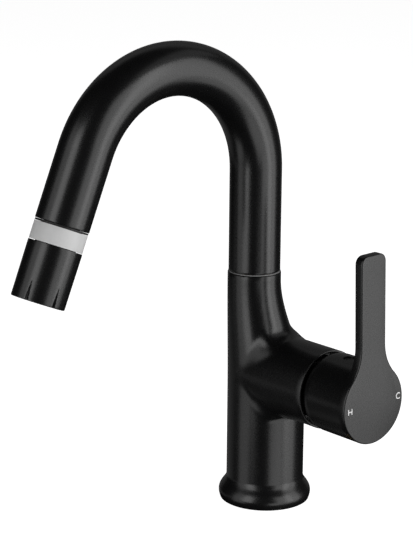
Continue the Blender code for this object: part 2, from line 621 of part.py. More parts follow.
def grip_cutter(name, parent):
    """A wedge that cuts one tapering V groove into the nozzle's rim."""
    top, depth, half = NOZZLE_END - 12.5, 0.9, 1.25
    rim = NOZZLE_END + 2.0
    outer = NOZZLE_R + 1.0
    inner = NOZZLE_TIP_R - depth
    points = [(NOZZLE_R + 0.05, 0.0, top), (outer, -0.2, top), (outer, 0.2, top),
              (inner, 0.0, rim), (outer, -half * 1.9, rim), (outer, half * 1.9, rim)]
    faces = [(0, 1, 2), (3, 5, 4), (0, 3, 4, 1), (0, 2, 5, 3), (1, 4, 5, 2)]
    return add_mesh(name, points, faces, parent)


def main():
    clear_scene()
    parts = {
        "black": principled("black_powder_coat", (0.012, 0.012, 0.013), 0.42),
        "black_plastic": principled("black_plastic", (0.010, 0.010, 0.010), 0.5),
        "ring_plastic": principled("light_grey_plastic", (0.50, 0.50, 0.50), 0.55),
        "grey_plastic": principled("grey_plastic", (0.10, 0.10, 0.11), 0.5),
        "white_plastic": principled("white_plastic", (0.75, 0.75, 0.72), 0.45),
        "steel": principled("stainless_steel", (0.60, 0.60, 0.60), 0.3, 1.0),
        "brass": principled("brass", (0.70, 0.52, 0.25), 0.35, 1.0),
        "rubber": principled("black_rubber", (0.02, 0.02, 0.02), 0.8),
        "ceramic": principled("white_ceramic", (0.85, 0.85, 0.82), 0.2),
        "hose": principled("grey_braided_hose", (0.25, 0.25, 0.26), 0.6),
    }
    root = axis_empty("deck_datum", Matrix.Identity(4))
    barrel = axis_empty("barrel_axis", barrel_frame())
    turning = axis_empty("lever_turn_axis", barrel_frame(LEVER_REST_TURN))
    spout = axis_empty("spout_axis", Matrix.Translation((NECK_X * MM, NECK_Y * MM, 0)))
    leg = axis_empty("leg_axis", leg_frame())
    make_body(parts["black"], root, barrel)
    make_mounting(parts["steel"], parts["brass"], parts["rubber"], root)
    ring("swivel_washer", NECK_R - 0.35, 13.2, JOINT_Z - 0.6, JOINT_Z, segments=40, parent=spout,
         material=parts["ring_plastic"])
    start, base = make_cartridge(parts, barrel)
    make_rotor(parts, turning, start, base)
    make_bonnet(parts["black"], barrel)
    make_lever(parts, turning)
    make_spout(parts, spout, leg)
    make_hoses(parts, root)
    make_head(parts, leg, leg)


main()
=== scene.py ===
"""Looks for the pull-down faucet: fine meshes, procedural materials, camera and studio light.

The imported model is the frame. The origin is the centre of the foot on the deck, +Z is up, the spout reaches
towards -Y and the lever is on the +X side. Shapes are written in millimetres and turned into metres by MM.
"""
import json
import math

import bmesh
import bpy
import numpy as np
from mathutils import Matrix, Vector


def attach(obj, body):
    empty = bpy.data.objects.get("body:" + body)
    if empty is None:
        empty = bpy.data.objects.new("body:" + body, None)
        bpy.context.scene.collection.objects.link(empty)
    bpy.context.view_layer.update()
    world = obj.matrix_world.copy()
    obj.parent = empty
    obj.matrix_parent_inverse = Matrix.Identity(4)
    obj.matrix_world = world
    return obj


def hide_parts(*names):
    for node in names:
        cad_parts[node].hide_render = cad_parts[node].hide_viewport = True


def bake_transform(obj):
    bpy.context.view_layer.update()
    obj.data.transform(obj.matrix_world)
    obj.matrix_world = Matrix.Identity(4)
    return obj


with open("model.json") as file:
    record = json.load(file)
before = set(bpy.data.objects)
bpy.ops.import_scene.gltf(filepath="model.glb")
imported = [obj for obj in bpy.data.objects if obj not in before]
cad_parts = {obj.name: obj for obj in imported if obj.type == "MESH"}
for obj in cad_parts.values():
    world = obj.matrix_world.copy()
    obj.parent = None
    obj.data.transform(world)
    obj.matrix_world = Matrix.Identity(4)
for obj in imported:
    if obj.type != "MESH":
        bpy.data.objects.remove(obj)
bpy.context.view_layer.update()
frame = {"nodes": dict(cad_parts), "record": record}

MM = 0.001
MERGE = 0.002                  # points closer than this become one, millimetres
SHARP = 40.0                   # edges bent by more than this many degrees stay sharp
FINE_SHARP = 30.0              # the same, on the lever and the nozzle
SEGMENTS = 96                  # round a turned piece

# ---- dimensions shared with the CAD model, millimetres ----
GAP = 0.3                      # clearance between pieces that touch
NECK_X, NECK_Y = -4.0, -7.0    # axis of the neck and spout, seen from the foot's centre
NECK_R = 15.5
NECK_BORE = 12.7
NECK_FLOOR = 105.0
JOINT_Z = 139.3                # where the spout swivels
NECK_TOP = JOINT_Z - 0.9
TUBE_R = 15.0
TUBE_BORE = 13.4
TUBE_TOP_Z = 198.4             # end of the spout's straight riser
ARCH_R = 62.75                 # centre line of the bend
ARCH_TURN = math.radians(157.5)
LEG_END = 41.0                 # the leg, measured from the end of the bend
COLUMN_R = 22.75
BARREL_R = 22.95
BARREL_Z = 79.25
BARREL_END = 53.3
FLANGE_R = 27.2
CARTRIDGE_BORE = 18.2
CARTRIDGE_FLOOR = 16.5
MOUTH_R = 21.6                 # wide mouth that the lever's skirt dips into when it lifts
MOUTH_FLOOR = 43.5
SKIRT_START = 54.5
SKIRT_R = 22.7
SKIRT_BORE = 19.4
LEVER_FACE = 88.75             # just under the CAD model's, which leaves room for the printed marks
LEVER_BACK = 83.2
BLADE_HALF = 9.2
BLADE_TOP = 85.6               # above the barrel's axis
BLADE_FILLET = 27.0
LEVER_REST_TURN = math.radians(2.0)
SCREW_X = 69.7                 # the set screw, along the barrel
SCREW_WAY_R = 3.6
GASKET_R = 22.4
GASKET_BORE = 19.4
GASKET_T = 2.0
SHANK_R = 16.0
SHANK_BORE = 14.5
SHANK_BOTTOM = -62.0
SHANK_TOP = 11.7
RING_START, RING_END = 42.5, 52.4
RING_R = 14.8
RING_BORE = 11.5
NOZZLE_START, NOZZLE_END = 52.7, 84.0
NOZZLE_R = 14.95
NOZZLE_TIP_R = 14.8
GRIPS = 6
GRIP_PHASE = 0.04              # the first groove, in parts of the spacing
HOSE_R = 4.7
HOSE_SPLIT = 8.0               # down the leg, where the stretch that pulls out begins
HOSE_END = 30.0


# ---- mesh tools ----
def finish_mesh(shape, name, sharp=SHARP):
    """Turns a bmesh in millimetres into a shaded object in metres."""
    bmesh.ops.remove_doubles(shape, verts=shape.verts, dist=MERGE)
    bmesh.ops.recalc_face_normals(shape, faces=shape.faces)
    if shape.calc_volume(signed=True) < 0:
        bmesh.ops.reverse_faces(shape, faces=shape.faces)
    bmesh.ops.scale(shape, vec=(MM, MM, MM), verts=shape.verts)
    mesh = bpy.data.meshes.new(name)
    shape.to_mesh(mesh)
    shape.free()
    mesh.shade_smooth()
    mesh.set_sharp_from_angle(angle=math.radians(sharp))
    piece = bpy.data.objects.new(name, mesh)
    bpy.context.scene.collection.objects.link(piece)
    return piece


def from_grid(rows, closed_rows=True, place=None):
    """A closed skin from rows of points, each row a loop; rows wrap round too when closed_rows is True."""
    shape = bmesh.new()
    loops = [[shape.verts.new(place @ Vector(p) if place else p) for p in row] for row in rows]
    following = loops[1:] + loops[:1] if closed_rows else loops[1:]
    for a, b in zip(loops, following):
        for i in range(len(a)):
            j = (i + 1) % len(a)
            shape.faces.new((a[i], a[j], b[j], b[i]))
    if not closed_rows:
        shape.faces.new(loops[0])
        shape.faces.new(loops[-1])
    return shape


def turned_rows(profile, segments, radius_at=None):
    """Rows of a turned shape from (radius, height) points; radius_at(angle, radius, height) may shape it."""
    rows = []
    for radius, height in profile:
        row = []
        for i in range(segments):
            angle = 2 * math.pi * i / segments
            r = radius_at(angle, radius, height) if radius_at else radius
            row.append((r * math.cos(angle), r * math.sin(angle), height))
        rows.append(row)
    return rows


def turned(name, profile, segments=SEGMENTS, place=None, radius_at=None, solid=False, sharp=SHARP):
    """A turned ring, closed on itself, or a solid bar capped at both ends."""
    rows = turned_rows(profile, segments, radius_at)
    return finish_mesh(from_grid(rows, not solid, place), name, sharp)


def arc(centre, radius, start, end, steps):
    """Points of an arc in a profile plane, angles in degrees."""
    angles = np.radians(np.linspace(start, end, steps + 1))
    return [(centre[0] + radius * math.cos(a), centre[1] + radius * math.sin(a)) for a in angles]


def joined(name, objects):
    """One object out of several that lie in world coordinates."""
    shape = bmesh.new()
    for part in objects:
        shape.from_mesh(part.data)
        bpy.data.objects.remove(part)
    mesh = bpy.data.meshes.new(name)
    shape.to_mesh(mesh)
    shape.free()
    piece = bpy.data.objects.new(name, mesh)
    bpy.context.scene.collection.objects.link(piece)
    return piece


def combine(piece, tools, operation, sharp):
    """Applies Boolean unions or cuts and removes the tools."""
    for tool in tools:
        boolean = piece.modifiers.new("boolean", "BOOLEAN")
        boolean.operation = operation
        boolean.solver = "EXACT"
        boolean.object = tool
    graph = bpy.context.evaluated_depsgraph_get()
    mesh = bpy.data.meshes.new_from_object(piece.evaluated_get(graph))
    piece.modifiers.clear()
    piece.data = mesh
    mesh.shade_smooth()
    mesh.set_sharp_from_angle(angle=math.radians(sharp))
    for tool in tools:
        bpy.data.objects.remove(tool)
    return piece


# ---- places, in millimetres ----
def lever_place():
    """Local +Z runs along the barrel and local -X is up, turned to where the lever rests."""
    return (Matrix.Translation((0, 0, BARREL_Z)) @ Matrix.Rotation(LEVER_REST_TURN, 4, "X")
            @ Matrix.Rotation(math.pi / 2, 4, "Y"))


def arch_points(steps):
    """Points along the bend's centre line."""
    points = []
    for i in range(steps + 1):
        angle = ARCH_TURN * i / steps
        points.append(Vector((NECK_X, NECK_Y - ARCH_R * (1 - math.cos(angle)),
                              TUBE_TOP_Z + ARCH_R * math.sin(angle))))
    return points


def leg_direction():
    """Down the leg."""
    return Vector((0, -math.sin(ARCH_TURN), math.cos(ARCH_TURN)))


def leg_point(along):
    """A point on the leg's centre line, this far from the end of the bend."""
    return arch_points(1)[-1] + leg_direction() * along


def leg_place():
    """Local +Z runs down the leg from the end of the bend."""
    return Matrix.Translation(leg_point(0.0)) @ Matrix.Rotation(ARCH_TURN, 4, "X")


# ---- the cast body, as a distance field shaped as in the CAD model ----
NECK_SQUARE = 133.9            # below this height the neck starts to sweep out
NECK_SWEEP = 66.0              # height over which it becomes the column
BARREL_GROWTH = 20.0           # length over which the barrel widens to its full radius
BARREL_TAIL = 1.7              # how much shorter than round the barrel's inner end is
UNDER_DROOP = 1.2              # the barrel's underside is this much fuller near the column
DROOP_START, DROOP_RISE = 2.0, 12.0
DROOP_STOP, DROOP_FALL = 44.0, 24.0
CREASE = 0.6                   # fillet where the barrel's underside leaves the column
FLANK_FILLET = 7.0             # the same, on the two flanks
TOP_FILLET = 7.0               # fillet between the neck and the barrel's top
TOP_FLANK_FILLET = 11.0        # the same, on the two flanks
FILLET_START = -2.0            # along the barrel, where its fillets begin
FILLET_CHANGE = 16.0           # distance over which one fillet turns into the next
FLANK_START, FLANK_RISE = 5.0, 12.0
TANGENT_REACH = 1.5            # how soon a fillet dies out where the two surfaces become tangent
FOOT_ROUND = 5.2               # radius of the foot's bead
FOOT_WIDEST = 4.4              # height of the foot's widest line
FOOT_UNDERCUT = 0.8            # how steeply the foot draws in below that line
FOOT_HOLLOW = 5.0              # hollow between the foot and the column

# ---- how the field is meshed, and the exact ends that carry it on ----
BODY_LOW, BODY_HIGH = (-32.0, -32.0, 14.0), (62.0, 32.0, 150.0)
BODY_STEP, QUICK_BODY_STEP = 1.25, 2.0    # the field is sampled this far apart
NUDGE = 0.02                   # step of the slope measurement, in parts of the mesh step
PULLS = 4                      # times that each point is pulled onto the surface
HALVINGS = 40                  # in the search for the foot's radius at a height
NECK_CUT = JOINT_Z - 3.5       # where the exact ends take over
BARREL_CUT = 49.0
FOOT_CUT = 28.0
FOOT_ROWS = 60
EDGE = 0.35                    # rounding of the neck's, barrel's and tube's outer edges
BEVEL = 0.2                    # of the bores' edges
SHANK_SOCKET = 12.0


def smooth_step(t):
    """Eases from 0 to 1 as t goes from 0 to 1."""
    t = np.clip(t, 0.0, 1.0)
    return t * t * (3.0 - 2.0 * t)


def round_union(a, b, radius):
    """Union of two distance fields with a circular fillet in the hollow corner between them."""
    u = np.maximum(radius - a, 0.0)
    v = np.maximum(radius - b, 0.0)
    return np.maximum(radius, np.minimum(a, b)) - np.hypot(u, v)


def body_distance(x, y, z):
    """Signed distance, in millimetres, to the casting's outside: column, barrel, neck and foot."""
    # the column leans and narrows into the neck: plumb at the front left, sweeping in at the back right
    grown = smooth_step((NECK_SQUARE - z) / NECK_SWEEP)
    column = (np.hypot(x - NECK_X * (1.0 - grown), y - NECK_Y * (1.0 - grown))
              - (NECK_R + (COLUMN_R - NECK_R) * grown))
    around = np.hypot(y, z - BARREL_Z)
    radius = COLUMN_R + (BARREL_R - COLUMN_R) * smooth_step(x / BARREL_GROWTH)
    below = np.clip((BARREL_Z - z) / BARREL_R, 0.0, 1.0)
    droop = (UNDER_DROOP * below * smooth_step((DROOP_STOP - x) / DROOP_FALL)
             * smooth_step((x - DROOP_START) / DROOP_RISE))
    barrel = np.where(x < 0.0, np.hypot(BARREL_TAIL * x, around), around) - radius - droop
    # fillets: wider on the two flanks than above and below, and none where the two surfaces are tangent
    above = smooth_step((z - BARREL_Z) / FILLET_CHANGE)
    outward = smooth_step((x - FILLET_START) / FILLET_CHANGE)
    flank = smooth_step((np.abs(y) - FLANK_START) / FLANK_RISE)
    alike = y * y / np.maximum(np.hypot(x, y) * around, 1.0)
    slant = np.clip(TANGENT_REACH * (1.0 - alike), 0.0, 1.0)
    under = CREASE + (FLANK_FILLET - CREASE) * flank
    over = TOP_FILLET + (TOP_FLANK_FILLET - TOP_FILLET) * flank
    fillet = CREASE + (under + (over - under) * above - CREASE) * outward * slant
    upper = round_union(column, barrel, fillet)
    # foot: a bead, round above its widest line and steeper below it, with a hollow above
    across = np.hypot(x, y) - (FLANGE_R - FOOT_ROUND)
    height = np.where(z > FOOT_WIDEST, z - FOOT_WIDEST, (FOOT_WIDEST - z) * FOOT_UNDERCUT)
    foot = np.where(across > 0.0, np.hypot(across, height), height) - FOOT_ROUND
    return round_union(upper, foot, FOOT_HOLLOW)


def surface_net(distance, low, high, step):
    """Quads around the zero surface of a distance field, each corner pulled onto the surface."""
    axes = [np.arange(low[i], high[i] + step, step) for i in range(3)]
    field = distance(*np.meshgrid(*axes, indexing="ij"))
    cells = tuple(n - 1 for n in field.shape)
    total = np.zeros(cells + (3,))
    count = np.zeros(cells)

    def corner(offset):
        return field[tuple(slice(offset[a], cells[a] + offset[a]) for a in range(3))]

    offsets = [(i, j, k) for i in (0, 1) for j in (0, 1) for k in (0, 1)]
    for axis in range(3):
        for offset in (o for o in offsets if o[axis] == 0):
            other = tuple(o + (a == axis) for a, o in enumerate(offset))
            near, far = corner(offset), corner(other)
            crossed = (near < 0) != (far < 0)
            share = np.where(crossed, near / np.where(crossed, near - far, 1.0), 0.0)
            for a in range(3):
                total[..., a] += np.where(crossed, offset[a] + (share if a == axis else 0.0), 0.0)
            count += crossed
    active = count > 0
    index = np.full(cells, -1)
    index[active] = np.arange(active.sum())
    points = (total[active] / count[active][:, None] + np.argwhere(active)) * step + np.array(low)
    faces = []
    for axis in range(3):
        b, c = (axis + 1) % 3, (axis + 2) % 3
        first, second = [slice(1, -1)] * 3, [slice(1, -1)] * 3
        first[axis], second[axis] = slice(0, -1), slice(1, None)
        near, far = field[tuple(first)], field[tuple(second)]
        crossed = (near < 0) != (far < 0)
        place = np.argwhere(crossed)
        place[:, [b, c]] += 1
        quad = []
        for shift_b, shift_c in ((-1, -1), (0, -1), (0, 0), (-1, 0)):
            cell = place.copy()
            cell[:, b] += shift_b
            cell[:, c] += shift_c
            quad.append(index[tuple(cell.T)])
        quad = np.stack(quad, 1)
        outward = near[crossed] < 0
        quad[~outward] = quad[~outward][:, ::-1]
        faces.append(quad)
    nudge = NUDGE * step
    for _ in range(PULLS):
        value = distance(*points.T)
        rises = [distance(*(points + nudge * e).T) - distance(*(points - nudge * e).T) for e in np.eye(3)]
        slope = np.stack([rise / (2 * nudge) for rise in rises], 1)
        points = points - slope * (value / np.maximum((slope ** 2).sum(1), 1e-9))[:, None]
    return points, np.concatenate(faces)


def radius_at_height(z):
    """Radius of the column and foot at a height, found by halving; they are turned about the origin there."""
    low, high = 0.5 * COLUMN_R, 1.5 * FLANGE_R
    for _ in range(HALVINGS):
        middle = 0.5 * (low + high)
        if body_distance(np.array([-middle]), np.array([0.0]), np.array([z]))[0] < 0:
            low = middle
        else:
            high = middle
    return low


def rim_in_order(edges):
    """The vertices round one closed rim."""
    beside = {}
    for edge in edges:
        for vert in edge.verts:
            beside.setdefault(vert, []).append(edge.other_vert(vert))
    row = [edges[0].verts[0]]
    while len(row) < len(beside):
        row.append(next(vert for vert in beside[row[-1]] if vert not in row))
    return row


def cut_and_extend(shape, centre, axis, level, profile):
    """Cuts the skin square to an axis at a level, then carries the cut edge on through a turned profile.

    The profile is (radius, height) points about the axis through centre; its last point is capped.
    The rows are built one by one, because Blender's own extrusion orders its faces anew each run."""
    axis = Vector(axis)
    centre = Vector(centre)
    geometry = shape.verts[:] + shape.edges[:] + shape.faces[:]
    bmesh.ops.bisect_plane(shape, geom=geometry, plane_co=centre + axis * level, plane_no=axis,
                           clear_outer=True, dist=1e-4)
    rim = [e for e in shape.edges if e.is_boundary
           and all(abs((v.co - centre).dot(axis) - level) < 1e-3 for v in e.verts)]
    row = rim_in_order(rim)
    for radius, height in profile:
        grown = []
        for vert in row:
            flat = (vert.co - centre) - axis * (vert.co - centre).dot(axis)
            grown.append(shape.verts.new(centre + flat.normalized() * radius + axis * height))
        for i in range(len(row)):
            j = (i + 1) % len(row)
            shape.faces.new((row[i], row[j], grown[j], grown[i]))
        row = grown
    shape.faces.new(row)


def rounded_rim(radius, level):
    """Profile points up a wall and round its outer edge to a flat end."""
    return [(radius, level - EDGE)] + arc((radius - EDGE, level - EDGE), EDGE, 30, 90, 2)


def make_body():
    """The casting: the meshed field, carried on by exact ends at the neck, the barrel and the foot."""
    step = BODY_STEP
    points, faces = surface_net(body_distance, BODY_LOW, BODY_HIGH, step)
    shape = bmesh.new()
    verts = [shape.verts.new(p) for p in points.tolist()]
    for face in faces.tolist():
        shape.faces.new([verts[i] for i in face])
    neck = rounded_rim(NECK_R, NECK_TOP)
    neck += [(NECK_BORE + BEVEL, NECK_TOP), (NECK_BORE, NECK_TOP - BEVEL), (NECK_BORE, NECK_FLOOR)]
    cut_and_extend(shape, (NECK_X, NECK_Y, 0), (0, 0, 1), NECK_CUT, neck)
    mouth = rounded_rim(BARREL_R, BARREL_END)
    mouth += [(MOUTH_R + BEVEL, BARREL_END), (MOUTH_R, BARREL_END - BEVEL), (MOUTH_R, MOUTH_FLOOR),
              (CARTRIDGE_BORE, MOUTH_FLOOR), (CARTRIDGE_BORE, CARTRIDGE_FLOOR)]
    cut_and_extend(shape, (0, 0, BARREL_Z), (1, 0, 0), BARREL_CUT, mouth)
    foot = [(radius_at_height(z), -z) for z in np.linspace(FOOT_CUT - 1.0, 0.5, FOOT_ROWS)]
    sole_r = foot[-1][0]
    wide, narrow, deep = GASKET_R + GAP, GASKET_BORE - GAP, -GASKET_T - GAP
    foot += [(sole_r - 0.1, -0.2), (sole_r - 0.4, 0.0)]
    foot += [(wide, 0.0), (wide, deep), (narrow, deep), (narrow, 0.0)]
    foot += [(SHANK_R + GAP, 0.0), (SHANK_R + GAP, -SHANK_SOCKET)]
    cut_and_extend(shape, (0, 0, 0), (0, 0, -1), -FOOT_CUT, foot)
    return finish_mesh(shape, "body_casting", 35.0)


# ---- spout ----
RISER_ROWS = np.linspace(1.0, 58.0, 14)
ARCH_STEPS = 96
TUBE_SEGMENTS = 72
WASHER_BORE = 13.2
WASHER_R = 15.12               # it stands this little proud of the tube
WASHER_T = 0.6
WASHER_BEVEL = 0.15


def swept_rows(path, radii, segments):
    """Loops round a path that lies in a plane of constant X; radii gives each loop its radius."""
    rows = []
    for i, (point, radius) in enumerate(zip(path, radii)):
        before, after = path[max(i - 1, 0)], path[min(i + 1, len(path) - 1)]
        along = (after - before).normalized()
        side = Vector((1, 0, 0))
        up = along.cross(side)
        rows.append([point + radius * (side * math.cos(a) + up * math.sin(a))
                     for a in np.linspace(0, 2 * math.pi, segments + 1)[:-1]])
    return rows


def make_tube():
    """The bent spout tube with its edges rounded and its bore open at both ends."""
    low = Vector((NECK_X, NECK_Y, JOINT_Z + GAP))
    end = leg_point(LEG_END)
    up = Vector((0, 0, 1))
    down = leg_direction()
    risers = [low + up * t for t in RISER_ROWS]
    legs = [leg_point(t) for t in np.linspace(3.0, LEG_END - 1.0, 10)]
    middle = risers + arch_points(ARCH_STEPS) + legs
    # each end is rounded over its last rows, from the full radius to EDGE less
    outer_path = [low, low + up * 0.12, low + up * EDGE] + middle
    outer_path += [end - down * EDGE, end - down * 0.12, end]
    rounding = [TUBE_R - EDGE, TUBE_R - 0.1]
    outer_radii = rounding + [TUBE_R] * (len(middle) + 2) + rounding[::-1]
    bore_path = [low] + middle + [end]
    rows = swept_rows(outer_path, outer_radii, TUBE_SEGMENTS)
    rows += swept_rows(bore_path, [TUBE_BORE] * len(bore_path), TUBE_SEGMENTS)[::-1]
    return finish_mesh(from_grid(rows), "spout_shell")


def make_washer():
    """The thin ring that shows between the neck and the spout."""
    low, top = JOINT_Z - WASHER_T, JOINT_Z
    profile = [(WASHER_BORE, low), (TUBE_R, low), (WASHER_R, low + WASHER_BEVEL)]
    profile += [(WASHER_R, top - WASHER_BEVEL), (TUBE_R, top), (WASHER_BORE, top)]
    return turned("joint_ring", profile, place=Matrix.Translation((NECK_X, NECK_Y, 0)))


# ---- spray head; heights run down the leg ----
GRIP_LENGTH = 12.5
GRIP_DEPTH = 0.95              # at the nozzle's rim
GRIP_HALF = 1.15               # half a groove's width at the rim
NOZZLE_SEGMENTS = 288          # a multiple of the grooves, and fine enough for their edges
SOCKET_R = 12.7                # inside the nozzle, where the head core turns
SOCKET_FLOOR = 61.0
PLATE_R = 10.05                # the spray face
PLATE_LOW, PLATE_TOP = 79.0, 82.55
AERATOR_R = 4.9
JET_RINGS = ((6.3, 10), (8.5, 14))     # (radius, jets)
JET_PROFILE = [(0.25, 82.0), (0.62, 82.0), (0.6, 82.7), (0.42, 83.2), (0.25, 83.2)]
WIRE_PITCH = 1.05              # of the aerator's wire mesh
WIRE_R = 0.16
WIRE_Z = 81.6


def make_collar():
    """The light ring between the spout's end and the nozzle."""
    edge = 0.15
    profile = [(RING_BORE, RING_START), (RING_R - edge, RING_START)]
    profile += arc((RING_R - edge, RING_START + edge), edge, -60, 0, 3)
    profile += arc((RING_R - edge, RING_END - edge), edge, 0, 60, 3)
    profile += [(RING_R - edge, RING_END), (RING_BORE, RING_END)]
    return turned("docking_ring", profile, 128, leg_place())


def grip_depth(angle, height):
    """Depth of the tapering V grooves at the nozzle's rim."""
    grown = (height - (NOZZLE_END - GRIP_LENGTH)) / GRIP_LENGTH
    if grown <= 0.0:
        return 0.0
    spacing = 2 * math.pi / GRIPS
    off = (angle / spacing - GRIP_PHASE) % 1.0
    off = min(off, 1.0 - off) * spacing * NOZZLE_R
    return GRIP_DEPTH * grown * max(0.0, 1.0 - off / (GRIP_HALF * grown))


def make_nozzle():
    """The nozzle's shell: a grooved, tapering wall, a rolled rim and the socket that the head core fits."""
    wall = list(np.linspace(NOZZLE_START + 0.4, NOZZLE_END - 14.0, 8))
    wall += list(np.linspace(NOZZLE_END - GRIP_LENGTH, NOZZLE_END - 0.5, 16))
    taper = (NOZZLE_TIP_R - NOZZLE_R) / (NOZZLE_END - NOZZLE_START)
    bore = SOCKET_R - 0.3
    profile = [(NOZZLE_R - 0.15, NOZZLE_START), (NOZZLE_R - 0.05, NOZZLE_START + 0.05)]
    profile += [(NOZZLE_R + taper * (h - NOZZLE_START), h) for h in wall]
    profile += [(NOZZLE_TIP_R - 0.15, NOZZLE_END - 0.15), (NOZZLE_TIP_R - 0.5, NOZZLE_END)]
    profile += [(SOCKET_R, NOZZLE_END), (bore, NOZZLE_END - 0.3), (bore, SOCKET_FLOOR + 1.0),
                (SOCKET_R, SOCKET_FLOOR), (SOCKET_R, NOZZLE_START)]

    def grooved(angle, radius, height):
        outside = radius > SOCKET_R + 0.5
        return radius - grip_depth(angle, height) if outside else radius

    return turned("nozzle_skin", profile, NOZZLE_SEGMENTS, leg_place(), grooved, sharp=FINE_SHARP)


def make_spray_plate():
    """The spray face with its rings of soft jets, and the aerator's wire mesh in the middle."""
    face = [(PLATE_R, PLATE_LOW), (PLATE_R, PLATE_TOP - 0.25), (PLATE_R - 0.25, PLATE_TOP)]
    face += [(AERATOR_R + 0.2, PLATE_TOP), (AERATOR_R, PLATE_TOP - 0.35), (AERATOR_R, PLATE_LOW)]
    parts = [turned("plate", face, place=leg_place())]
    for ring_radius, count in JET_RINGS:
        for i in range(count):
            angle = 2 * math.pi * i / count
            spot = Matrix.Translation((ring_radius * math.cos(angle), ring_radius * math.sin(angle), 0))
            parts.append(turned("jet", JET_PROFILE, 16, leg_place() @ spot))
    wires = []
    lying = Matrix.Rotation(math.pi / 2, 4, "X")
    for i in range(-4, 5):
        half = math.sqrt((AERATOR_R - 0.05) ** 2 - (i * WIRE_PITCH) ** 2)
        for layer in (0, 1):
            turn = Matrix.Rotation(layer * math.pi / 2, 4, "Z")
            shift = Matrix.Translation((i * WIRE_PITCH, 0, layer * 0.3))
            place = leg_place() @ Matrix.Translation((0, 0, WIRE_Z)) @ turn @ shift @ lying
            wires.append(turned("wire", [(WIRE_R, -half), (WIRE_R, half)], 8, place, solid=True))
    return joined("spray_plate", parts), joined("aerator_mesh", wires)


# ---- spray hose ----
def swept_hose(name, path):
    return finish_mesh(from_grid(swept_rows(path, [HOSE_R] * len(path), 32), False), name)


def make_hose():
    """The hose inside the spout, from the neck round the bend into the leg."""
    low = Vector((NECK_X, NECK_Y, JOINT_Z + 0.15))
    path = [low] + [low + Vector((0, 0, t)) for t in np.linspace(5, 55, 8)] + arch_points(60)
    return swept_hose("spray_hose", path + [leg_point(3.0), leg_point(HOSE_SPLIT)])


def make_pulled_hose():
    """The stretch of hose in the leg, the part that draws out of the spout when the head is pulled; it is
    left fixed where it rests.
    """
    return swept_hose("pulled_hose", [leg_point(t) for t in np.linspace(HOSE_SPLIT + 0.3, HOSE_END, 60)])


# ---- lever; heights run along the barrel ----
BLADE_CORNER = 4.6
FACE_ROUND = 0.85              # of the front edge, all round
BACK_ROUND = 0.6
MERGE_DEPTH = 2.0              # how far skirt and disc overlap before they are joined
BOSS_R, BOSS_BORE = 7.5, 4.6   # round the cartridge's stem, behind the set screw
SCREW_R = 2.3
MARK_TALL, MARK_WIDE = 3.3, 2.5
MARK_PEN = 0.62
MARK_T = 0.05
MARKS = (("hot_mark", -18.0, 0.0), ("cold_mark", 19.4, 0.8))       # (name, across, up)


def lever_outline(inset, steps):
    """Outline of disc and blade as (up, across), centred on the axis, drawn in by inset."""
    radius, half, top = SKIRT_R - inset, BLADE_HALF - inset, BLADE_TOP - inset
    fillet = BLADE_FILLET + inset
    corner = BLADE_CORNER - inset
    start = math.sqrt((radius + fillet) ** 2 - (half + fillet) ** 2)
    meet = math.atan2(start, half + fillet)
    disc = [(radius * math.sin(a), radius * math.cos(a)) for a in np.linspace(-math.pi / 2, meet, steps)]
    side = [(start + fillet * math.sin(a), half + fillet + fillet * math.cos(a))
            for a in np.linspace(math.pi + meet, math.pi, steps // 3)]
    stretch = [(up, half) for up in np.linspace(start + 4, top - corner - 2, 8)]
    tip = [(top - corner + corner * math.sin(a), half - corner + corner * math.cos(a))
           for a in np.linspace(0, math.pi / 2, 10)]
    right = disc + side[1:] + stretch + tip
    left = [(up, -across) for up, across in reversed(right[1:])]
    return right + left


def make_lever():
    """Disc and blade with rounded edges, joined to skirt and boss, with the set screw's way cut out."""
    place = lever_place()
    rows = []
    for angle in np.radians(np.linspace(0, 90, 5)):
        rows.append((BACK_ROUND * (1 - math.sin(angle)), LEVER_BACK + BACK_ROUND * (1 - math.cos(angle))))
    for angle in np.radians(np.linspace(0, 90, 7)):
        inset = FACE_ROUND * (1 - math.cos(angle))
        rows.append((inset, LEVER_FACE - FACE_ROUND + FACE_ROUND * math.sin(angle)))
    loops = [[(-up, across, height) for up, across in lever_outline(inset, 60)] for inset, height in rows]
    plate = finish_mesh(from_grid(loops, False, place), "lever", FINE_SHARP)
    # the skirt narrows towards the barrel, so that its edge clears the mouth when the lever tips
    narrowing = ((19.7, 0.0), (20.7, 0.0), (20.95, 0.1), (21.1, 0.35), (21.7, 1.2), (22.35, 3.0),
                 (22.58, 4.2), (SKIRT_R, 5.6))
    skirt = [(SKIRT_BORE, SKIRT_START + 0.2)] + [(radius, SKIRT_START + along) for radius, along in narrowing]
    top = LEVER_BACK + MERGE_DEPTH
    skirt += [(SKIRT_R - 0.02, top), (1.0, top), (1.0, LEVER_BACK - 2.2), (SKIRT_BORE, LEVER_BACK - 2.2)]
    shell = turned("skirt", skirt, 160, place)
    low, high = SCREW_X - 3.3, LEVER_BACK - 1.0
    boss = [(BOSS_BORE, low), (BOSS_R - 0.3, low), (BOSS_R, low + 0.3), (BOSS_R, high), (BOSS_BORE, high)]
    lever = combine(plate, [shell, turned("boss", boss, 48, place)], "UNION", FINE_SHARP)
    upright = place @ Matrix.Translation((0, 0, SCREW_X)) @ Matrix.Rotation(-math.pi / 2, 4, "Y")
    way = turned("screw_way", [(SCREW_WAY_R, 12.0), (SCREW_WAY_R, 30.0)], 48, upright, solid=True)
    thread = turned("screw_thread", [(SCREW_R, 3.0), (SCREW_R, 14.0)], 32, upright, solid=True)
    return combine(lever, [way, thread], "DIFFERENCE", FINE_SHARP)


